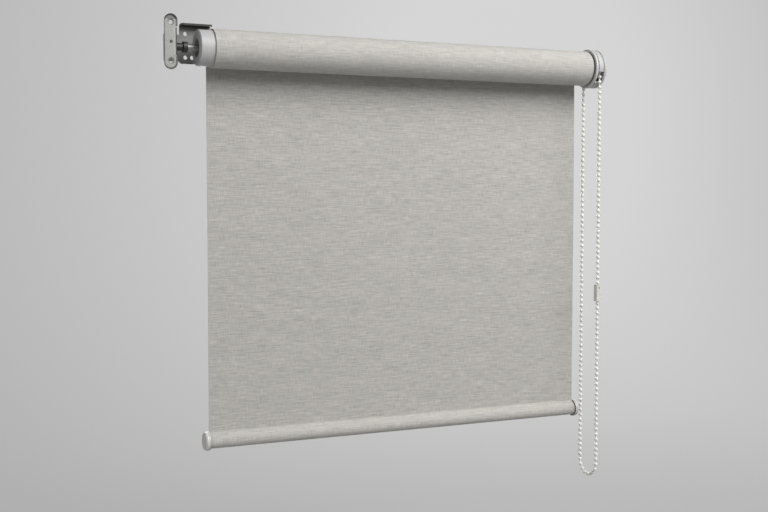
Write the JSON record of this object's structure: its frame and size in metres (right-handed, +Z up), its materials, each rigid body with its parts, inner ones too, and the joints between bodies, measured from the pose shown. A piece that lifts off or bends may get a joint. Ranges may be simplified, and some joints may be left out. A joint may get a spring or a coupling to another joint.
{
  "type": "roller blind",
  "caption": "Roller blind: linen-weave cloth on a tube between a sprung idle pin and a bead-chain clutch, with a round covered hem bar and folded steel wall brackets.",
  "frame": {"origin": "middle of the four wall screws that hold the two brackets, on the wall plane", "axes": "+X along the roller towards the chain, +Y into the wall, +Z up"},
  "size_m": [0.5235, 0.0556, 0.5129],
  "materials": {
    "bracket_steel": "galvanised sheet",
    "dark_steel": "dark oxide",
    "pin_steel": "turned steel",
    "plug_plastic": "moulded grey",
    "tube_aluminium": "mill finish",
    "cloth": "linen weave",
    "cap_plastic": "moulded",
    "clutch_plastic": "moulded pale grey",
    "chain_plastic": "moulded ivory"
  },
  "bodies": {
    "root": {"idle_bracket": "bracket_steel", "idle_bush": "dark_steel", "clutch_hub": "plug_plastic", "brake_spring_inner": "pin_steel", "brake_spring_outer": "pin_steel", "hub_clip": "dark_steel", "guard_flange": "clutch_plastic", "chain_housing": "clutch_plastic", "hub_screw": "pin_steel", "drive_bracket": "bracket_steel", "bead_chain": "chain_plastic", "chain_clip": "chain_plastic", "fabric_drop": "cloth"},
    "roller": {"roller_tube": "tube_aluminium", "fabric_roll": "cloth", "idle_plug": "plug_plastic", "spring_seat": "plug_plastic", "drive_plug": "plug_plastic", "chain_wheel": "clutch_plastic"},
    "pin": {"idle_pin": "pin_steel", "pin_spring": "pin_steel"},
    "hem": {"hem_bar": "tube_aluminium", "hem_pocket": "cloth", "hem_cap_left": "cap_plastic", "hem_cap_right": "cap_plastic"}
  },
  "joints": [
    {"name": "roller_turn", "type": "hinge", "parent": "root", "child": "roller", "pos_m": [0, -0.033, -0.0055], "axis": [1, 0, 0], "range_deg": [0, 1000], "deforming": ["bead_chain"]},
    {"name": "hem_lift", "type": "slide", "parent": "root", "child": "hem", "axis": [0, 0, 1], "range_m": [0, 0.35], "deforming": ["fabric_drop"]},
    {"name": "pin_retract", "type": "slide", "parent": "root", "child": "pin", "axis": [1, 0, 0], "range_m": [0, 0.0075], "stiffness_N_per_m": 400, "springref_m": -0.01, "deforming": ["pin_spring"]}
  ],
  "couplings": [
    {"joint": "hem_lift", "follows": "roller_turn", "m_per_rad": 0.02}
  ]
}
